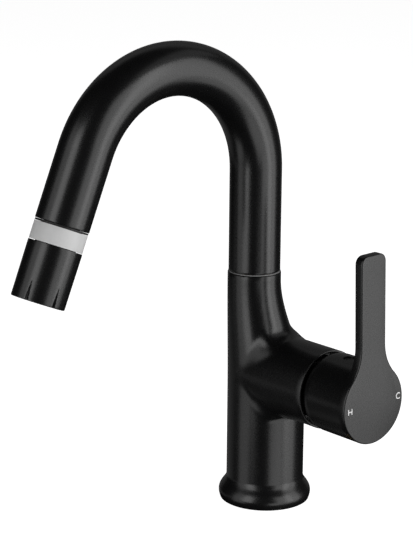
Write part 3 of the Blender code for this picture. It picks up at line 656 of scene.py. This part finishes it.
def stroke(points, place):
    """A flat printed stroke along a line of (across, up) points."""
    shape = bmesh.new()
    line = [Vector((p[0], p[1], 0)) for p in points]
    loops = []
    for i, point in enumerate(line):
        along = (line[min(i + 1, len(line) - 1)] - line[max(i - 1, 0)]).normalized()
        side = Vector((-along.y, along.x, 0)) * MARK_PEN / 2
        loops.append([shape.verts.new(place @ (point + s * side + Vector((0, 0, h))))
                      for s, h in ((-1, 0), (1, 0), (1, MARK_T), (-1, MARK_T))])
    for a, b in zip(loops, loops[1:]):
        for i in range(4):
            shape.faces.new((a[i], a[(i + 1) % 4], b[(i + 1) % 4], b[i]))
    shape.faces.new(loops[0])
    shape.faces.new(loops[-1])
    return finish_mesh(shape, "stroke", 20.0)


def make_marks():
    """Plain H and C marks for hot and cold, printed on the lever's face."""
    stem, bar, top = MARK_WIDE / 2, MARK_WIDE / 2 - MARK_PEN / 2, MARK_TALL / 2
    bow = np.radians(np.linspace(42, 318, 24))
    lines = {
        "hot_mark": [[(-stem, -top), (-stem, top)], [(stem, -top), (stem, top)], [(-bar, 0), (bar, 0)]],
        "cold_mark": [[(top * math.cos(a), top * math.sin(a)) for a in bow]],
    }
    # local +X of a mark runs towards +Y and its +Y runs up, as seen from outside
    upright = Matrix(((0, -1, 0, 0), (1, 0, 0, 0), (0, 0, 1, 0), (0, 0, 0, 1)))
    marks = []
    for name, across, up in MARKS:
        place = lever_place() @ Matrix.Translation((-up, across, LEVER_FACE)) @ upright
        marks.append(joined(name, [stroke(line, place) for line in lines[name]]))
    return marks


# ---- under the deck ----
THREAD_PITCH, THREAD_DEPTH = 1.5, 0.75
THREAD_TOP = -1.5


def make_shank():
    """The threaded shank, with a real helical thread."""
    heights = np.arange(SHANK_BOTTOM + 1.0, -0.5, THREAD_PITCH / 6)

    def threaded(angle, radius, height):
        if radius < SHANK_R or height < SHANK_BOTTOM + 1.0 or height > THREAD_TOP:
            return radius
        phase = (height / THREAD_PITCH - angle / (2 * math.pi)) % 1.0
        return radius - THREAD_DEPTH * abs(2 * phase - 1.0)

    profile = [(SHANK_BORE, SHANK_BOTTOM), (SHANK_R - 1.0, SHANK_BOTTOM)] + [(SHANK_R, h) for h in heights]
    profile += [(SHANK_R, -0.4), (SHANK_R, SHANK_TOP - 0.5), (SHANK_R - 0.5, SHANK_TOP)]
    profile += [(SHANK_BORE, SHANK_TOP)]
    return turned("threaded_shank", profile, 72, radius_at=threaded, sharp=60.0)


# ---- materials ----
COAT = (0.0040, 0.0040, 0.0042)
COAT_ROUGH = 0.27
NOISE_LOW, NOISE_HIGH = 0.3, 0.7       # the part of a noise's 0 to 1 that most of it lies in


class Graph:
    """Short names for building a node material."""

    def __init__(self, name, roughness, metallic=0.0, colour=(0.5, 0.5, 0.5), **sockets):
        self.material = bpy.data.materials.new(name)
        self.material.use_nodes = True
        self.nodes = self.material.node_tree.nodes
        self.links = self.material.node_tree.links
        self.shader = self.nodes["Principled BSDF"]
        self.shader.inputs["Base Color"].default_value = (*colour, 1.0)
        self.shader.inputs["Roughness"].default_value = roughness
        self.shader.inputs["Metallic"].default_value = metallic
        for socket, value in sockets.items():
            self.shader.inputs[socket.replace("_", " ")].default_value = value
        self.where = self.nodes.new("ShaderNodeTexCoord").outputs["Object"]

    def noise(self, scale, detail=3.0, stretch=(1, 1, 1)):
        node = self.nodes.new("ShaderNodeTexNoise")
        node.inputs["Scale"].default_value = scale
        node.inputs["Detail"].default_value = detail
        self.links.new(self.mapped(stretch), node.inputs["Vector"])
        return node.outputs["Fac"]

    def mapped(self, scale=(1, 1, 1), turn=(0, 0, 0)):
        """The piece's own coordinates, stretched or turned."""
        if scale == (1, 1, 1) and turn == (0, 0, 0):
            return self.where
        node = self.nodes.new("ShaderNodeMapping")
        node.inputs["Scale"].default_value = scale
        node.inputs["Rotation"].default_value = turn
        self.links.new(self.where, node.inputs["Vector"])
        return node.outputs["Vector"]

    def wave(self, scale, direction, turn=(0, 0, 0), distortion=0.0):
        """Evenly spaced bands."""
        node = self.nodes.new("ShaderNodeTexWave")
        node.wave_type = "BANDS"
        node.bands_direction = direction
        node.inputs["Scale"].default_value = scale
        node.inputs["Distortion"].default_value = distortion
        self.links.new(self.mapped(turn=turn), node.inputs["Vector"])
        return node.outputs["Fac"]

    def ramp(self, value, low, high):
        """Spreads a noise between low and high."""
        node = self.nodes.new("ShaderNodeMapRange")
        node.inputs["From Min"].default_value = NOISE_LOW
        node.inputs["From Max"].default_value = NOISE_HIGH
        node.inputs["To Min"].default_value = low
        node.inputs["To Max"].default_value = high
        self.links.new(value, node.inputs["Value"])
        return node.outputs["Result"]

    def maths(self, operation, a, b):
        """One sum of two sockets, or of a socket and a number."""
        node = self.nodes.new("ShaderNodeMath")
        node.operation = operation
        self.links.new(a, node.inputs[0])
        if isinstance(b, (int, float)):
            node.inputs[1].default_value = b
        else:
            self.links.new(b, node.inputs[1])
        return node.outputs["Value"]

    def tint(self, value, dark, light):
        """Drives the colour between dark and light."""
        node = self.nodes.new("ShaderNodeValToRGB")
        for stop, colour, position in zip(node.color_ramp.elements, (dark, light), (NOISE_LOW, NOISE_HIGH)):
            stop.color = (*colour, 1.0)
            stop.position = position
        self.links.new(value, node.inputs["Fac"])
        self.links.new(node.outputs["Color"], self.shader.inputs["Base Color"])

    def rough(self, value, low, high):
        """Drives the roughness between low and high."""
        self.links.new(self.ramp(value, low, high), self.shader.inputs["Roughness"])

    def bump(self, height, strength, distance):
        """Raises the surface by a height field; distance is in metres."""
        node = self.nodes.new("ShaderNodeBump")
        node.inputs["Strength"].default_value = strength
        node.inputs["Distance"].default_value = distance
        self.links.new(height, node.inputs["Height"])
        self.links.new(node.outputs["Normal"], self.shader.inputs["Normal"])


def powder_coat():
    """Matt black powder coat: a fine orange peel, and a finer grain that breaks up the gloss."""
    g = Graph("matt_black_powder_coat", COAT_ROUGH, colour=COAT)
    dark, light = (tuple(share * c for c in COAT) for share in (0.9, 1.12))
    peel = g.noise(700.0, 2.0)
    grain = g.noise(4200.0, 2.0)
    g.tint(g.noise(260.0, 4.0), dark, light)
    g.rough(g.noise(420.0, 3.0), COAT_ROUGH - 0.006, COAT_ROUGH + 0.008)
    g.bump(g.maths("ADD", peel, g.maths("MULTIPLY", grain, 0.4)), 0.006, 0.00005)
    return g.material


def moulded(name, dark, light, roughness, grain=1600.0, strength=0.12):
    """Moulded plastic with a fine spark-eroded texture and a little colour drift."""
    g = Graph(name, roughness)
    g.tint(g.noise(320.0, 3.0), dark, light)
    g.rough(g.noise(grain, 3.0), roughness - 0.05, roughness + 0.06)
    g.bump(g.noise(grain * 1.6, 2.0), strength, 0.00005)
    return g.material


def rubber():
    """Dull black rubber."""
    g = Graph("black_rubber", 0.75)
    g.tint(g.noise(420.0, 4.0), (0.014, 0.014, 0.014), (0.03, 0.03, 0.029))
    g.rough(g.noise(900.0, 3.0), 0.66, 0.85)
    g.bump(g.noise(2200.0, 3.0), 0.25, 0.00008)
    return g.material


def turned_metal(name, dark, light, roughness):
    """Machined metal: fine lathe lines square to the vertical axis, smudged by handling."""
    g = Graph(name, roughness, 1.0)
    g.tint(g.noise(140.0, 5.0), dark, light)
    lines = g.wave(900.0, "Z", distortion=0.6)
    g.rough(g.noise(90.0, 4.0), roughness - 0.07, roughness + 0.12)
    g.bump(g.maths("ADD", lines, g.maths("MULTIPLY", g.noise(2500.0, 2.0), 0.6)), 0.12, 0.00003)
    return g.material


def brushed_steel():
    """Stainless steel with fine streaks."""
    g = Graph("brushed_stainless", 0.3, 1.0)
    g.tint(g.noise(60.0, 4.0), (0.30, 0.30, 0.30), (0.35, 0.35, 0.345))
    streaks = g.noise(1200.0, 4.0, stretch=(0.02, 0.02, 1.0))
    g.rough(streaks, 0.36, 0.44)
    g.bump(streaks, 0.05, 0.00002)
    return g.material


def ceramic():
    """Lapped alumina, as in a cartridge's discs."""
    g = Graph("lapped_alumina", 0.16, Coat_Weight=0.4)
    g.tint(g.noise(500.0, 5.0), (0.76, 0.75, 0.71), (0.88, 0.87, 0.84))
    g.rough(g.noise(700.0, 3.0), 0.1, 0.24)
    g.bump(g.noise(3000.0, 2.0), 0.05, 0.00002)
    return g.material


def braid():
    """Woven nylon sleeve: two sets of threads crossing at a slant."""
    g = Graph("woven_nylon_sleeve", 0.55)
    first = g.wave(330.0, "DIAGONAL", distortion=0.2)
    second = g.wave(330.0, "DIAGONAL", turn=(0.0, 0.0, math.pi), distortion=0.2)
    weave = g.maths("MAXIMUM", first, second)
    g.tint(g.maths("MULTIPLY", weave, g.noise(900.0, 2.0)), (0.03, 0.03, 0.032), (0.16, 0.16, 0.165))
    g.rough(weave, 0.45, 0.7)
    g.bump(weave, 0.6, 0.0003)
    return g.material


def ink():
    """White printing ink."""
    g = Graph("white_print", 0.45)
    g.tint(g.noise(1500.0, 3.0), (0.72, 0.72, 0.72), (0.85, 0.85, 0.85))
    g.rough(g.noise(2500.0, 2.0), 0.38, 0.55)
    g.bump(g.noise(4000.0, 2.0), 0.08, 0.00002)
    return g.material


def dress(piece, material):
    piece.data.materials.clear()
    piece.data.materials.append(material)


def make_materials():
    """One material for each slot of the record, and two more for the joint ring and the print."""
    return {
        "black_coat": powder_coat(),
        "black_plastic": moulded("black_plastic", (0.007, 0.007, 0.007), (0.013, 0.013, 0.013), 0.5),
        "light_grey_plastic": moulded("light_grey_plastic", (0.60, 0.60, 0.60), (0.63, 0.63, 0.63), 0.5,
                                      2400.0, 0.05),
        "grey_plastic": moulded("dark_grey_plastic", (0.05, 0.05, 0.054), (0.075, 0.075, 0.08), 0.48),
        "white_plastic": moulded("acetal", (0.66, 0.65, 0.62), (0.76, 0.75, 0.72), 0.42),
        "stainless": brushed_steel(),
        "brass": turned_metal("machined_brass", (0.58, 0.41, 0.17), (0.72, 0.53, 0.25), 0.3),
        "black_rubber": rubber(),
        "ceramic": ceramic(),
        "hose": braid(),
        "ring_plastic": moulded("joint_ring_plastic", (0.19, 0.19, 0.19), (0.21, 0.21, 0.21), 0.5,
                                2400.0, 0.05),
        "ink": ink(),
    }


# ---- camera, light and stage ----
CAMERA_PLACE = (0.79062, -0.71608, 0.40696)    # metres
CAMERA_HEADING = 49.74         # the camera's azimuth round the object, degrees
CAMERA_FORWARD = (-0.73952, 0.62618, -0.24701)
CAMERA_RIGHT = (0.64620, 0.76317, 0.0)
CAMERA_ROLL = 0.0084           # radians
CAMERA_LENS, CAMERA_SENSOR = 124.217, 36.0
SOFTBOX_REACH = 1.5            # from the object to each softbox, metres
AMBIENT = 0.01
DECK_R = 6.0                   # metres
DECK_GLOW = 0.95               # keeps the deck white under the panels
CARD_R = 34.0                  # millimetres, like the two depths
DECK_DEPTH, CARD_DEPTH = 0.2, 0.4
PANELS = (
    # (name, bearing, half width, low, high, radiance)
    # each side is lit in two heights; the lower panels are what the column and foot mirror
    ("back", 180.0, 40.0, -0.3, 1.2, 0.10),
    ("back_high", 180.0, 40.0, 1.3, 2.6, 0.20),
    ("back_left_lower", -140.0, 28.0, -1.3, -0.3, 0.12),
    ("left_near_upper", -43.0, 13.0, -0.32, 1.3, 2.7),
    ("left_far_upper", -70.0, 13.0, -0.32, 1.3, 0.96),
    ("left_lower", -69.0, 16.0, -1.3, -0.36, 0.90),
    ("right_inner_upper", 39.0, 12.0, -0.30, 1.3, 1.8),
    ("right_inner_lower", 30.0, 19.0, -1.3, -0.32, 1.7),
    ("right_outer_upper", 63.0, 10.0, -0.42, 1.3, 3.6),
    ("right_edge_upper", 85.0, 10.0, -0.42, 1.3, 2.1),
    ("right_outer_lower", 71.0, 20.0, -1.3, -0.44, 1.5),
    ("right_high", 90.0, 40.0, 1.4, 2.6, 0.35),
    ("blade_side", -99.0, 8.0, -0.36, -0.16, 0.25),
)


def make_camera():
    """A long lens from the lever's side, a little above the object."""
    forward = Vector(CAMERA_FORWARD).normalized()
    right = Vector(CAMERA_RIGHT).normalized()
    up = right.cross(forward).normalized()
    across = math.cos(CAMERA_ROLL) * right + math.sin(CAMERA_ROLL) * up
    rise = math.cos(CAMERA_ROLL) * up - math.sin(CAMERA_ROLL) * right
    lens = bpy.data.cameras.new("camera")
    lens.sensor_width = CAMERA_SENSOR
    lens.lens = CAMERA_LENS
    lens.clip_start = 0.05
    camera = bpy.data.objects.new("camera", lens)
    place = Matrix((across, rise, -forward)).transposed().to_4x4()
    place.translation = CAMERA_PLACE
    camera.matrix_world = place
    bpy.context.scene.collection.objects.link(camera)
    bpy.context.scene.camera = camera


def softbox(name, bearing, half_width, low, high, radiance):
    """A plain upright panel facing the object, seen from it across twice half_width degrees.

    bearing is measured round the object from the camera, positive to its right."""
    angle = math.radians(CAMERA_HEADING + bearing)
    spot = Vector((SOFTBOX_REACH * math.sin(angle), -SOFTBOX_REACH * math.cos(angle), (low + high) / 2))
    light = bpy.data.lights.new(name, "AREA")
    light.shape = "RECTANGLE"
    light.size = 2 * SOFTBOX_REACH * math.tan(math.radians(half_width))
    light.size_y = high - low
    light.energy = math.pi * light.size * light.size_y * radiance
    lamp = bpy.data.objects.new(name, light)
    lamp.location = spot
    lamp.rotation_euler = (Vector((0, 0, spot.z)) - spot).to_track_quat("-Z", "Y").to_euler()
    bpy.context.scene.collection.objects.link(lamp)


def make_world():
    """White to the camera, and nearly dark to everything else, so the panels do the lighting."""
    world = bpy.data.worlds.new("studio")
    world.use_nodes = True
    nodes, links = world.node_tree.nodes, world.node_tree.links
    lighting = nodes["Background"]
    lighting.inputs["Color"].default_value = (1, 1, 1, 1)
    lighting.inputs["Strength"].default_value = AMBIENT
    seen = nodes.new("ShaderNodeBackground")
    seen.inputs["Color"].default_value = (1, 1, 1, 1)
    seen.inputs["Strength"].default_value = 1.0
    path = nodes.new("ShaderNodeLightPath")
    mix = nodes.new("ShaderNodeMixShader")
    links.new(path.outputs["Is Camera Ray"], mix.inputs["Fac"])
    links.new(lighting.outputs["Background"], mix.inputs[1])
    links.new(seen.outputs["Background"], mix.inputs[2])
    links.new(mix.outputs["Shader"], nodes["World Output"].inputs["Surface"])
    bpy.context.scene.world = world


def make_studio():
    for panel in PANELS:
        softbox(*panel)
    make_world()
    bpy.context.scene.view_settings.view_transform = "Standard"


def stage_disc(name, radius, depth, segments, **sockets):
    """A flat disc of the stage, in metres, that neither lights nor shades the object."""
    shape = bmesh.new()
    bmesh.ops.create_circle(shape, cap_ends=True, radius=radius, segments=segments)
    mesh = bpy.data.meshes.new(name)
    shape.to_mesh(mesh)
    shape.free()
    material = bpy.data.materials.new(name)
    material.use_nodes = True
    shader = material.node_tree.nodes["Principled BSDF"]
    for socket, value in sockets.items():
        shader.inputs[socket.replace("_", " ")].default_value = value
    mesh.materials.append(material)
    disc = bpy.data.objects.new(name, mesh)
    bpy.context.scene.collection.objects.link(disc)
    disc.location.z = -depth
    disc.visible_diffuse = False
    disc.visible_shadow = False
    return disc


def make_stage():
    """A plain white deck just under the foot; the hardware hangs below it.

    A matt black card, seen in reflections only, keeps the lever from mirroring the brass below."""
    deck = stage_disc("deck", DECK_R, DECK_DEPTH * MM, 96, Base_Color=(0.8, 0.8, 0.8, 1), Roughness=0.9,
                      Emission_Color=(1, 1, 1, 1), Emission_Strength=DECK_GLOW)
    deck.visible_glossy = False
    card = stage_disc("card", CARD_R * MM, CARD_DEPTH * MM, 64, Base_Color=(0, 0, 0, 1), Roughness=1.0,
                      Specular_IOR_Level=0.0)
    card.visible_camera = False


def dress_cad(materials):
    """Gives each CAD node that stays visible the material of its slot."""
    slots = {part["node"]: part["material_slot"] for part in frame["record"]["subparts"]}
    for node, piece in frame["nodes"].items():
        dress(piece, materials[slots[node]])


def add_piece(piece, body, slot_name, material, *nodes):
    """Dresses a fine mesh, fixes it to its body and hides the CAD nodes that it stands for."""
    dress(piece, material)
    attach(piece, body)
    if nodes:
        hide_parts(*nodes)


def make_object(materials):
    dress_cad(materials)
    coat, hose = materials["black_coat"], materials["hose"]
    plate, screen = make_spray_plate()
    marks = make_marks()
    add_piece(make_body(), "root", "black_coat", coat, "faucet_body")
    add_piece(make_tube(), "spout", "black_coat", coat, "spout_tube")
    add_piece(make_washer(), "spout", "light_grey_plastic", materials["ring_plastic"], "swivel_washer")
    add_piece(make_collar(), "head", "light_grey_plastic", materials["light_grey_plastic"], "docking_collar")
    add_piece(make_nozzle(), "nozzle", "black_coat", coat, "nozzle_shell")
    add_piece(plate, "nozzle", "grey_plastic", materials["grey_plastic"], "spray_face")
    add_piece(screen, "nozzle", "stainless", materials["stainless"])
    add_piece(make_lever(), "lever", "black_coat", coat, "handle")
    add_piece(make_shank(), "root", "brass", materials["brass"], "mounting_shank")
    for mark in marks:
        add_piece(mark, "lever", "white_plastic", materials["ink"])
    add_piece(make_hose(), "spout", "hose", hose, "spray_hose_spout")
    pulled = make_pulled_hose()
    dress(pulled, hose)
    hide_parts("spray_hose_head")
    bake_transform(pulled)


make_camera()
make_studio()
make_stage()
make_object(make_materials())
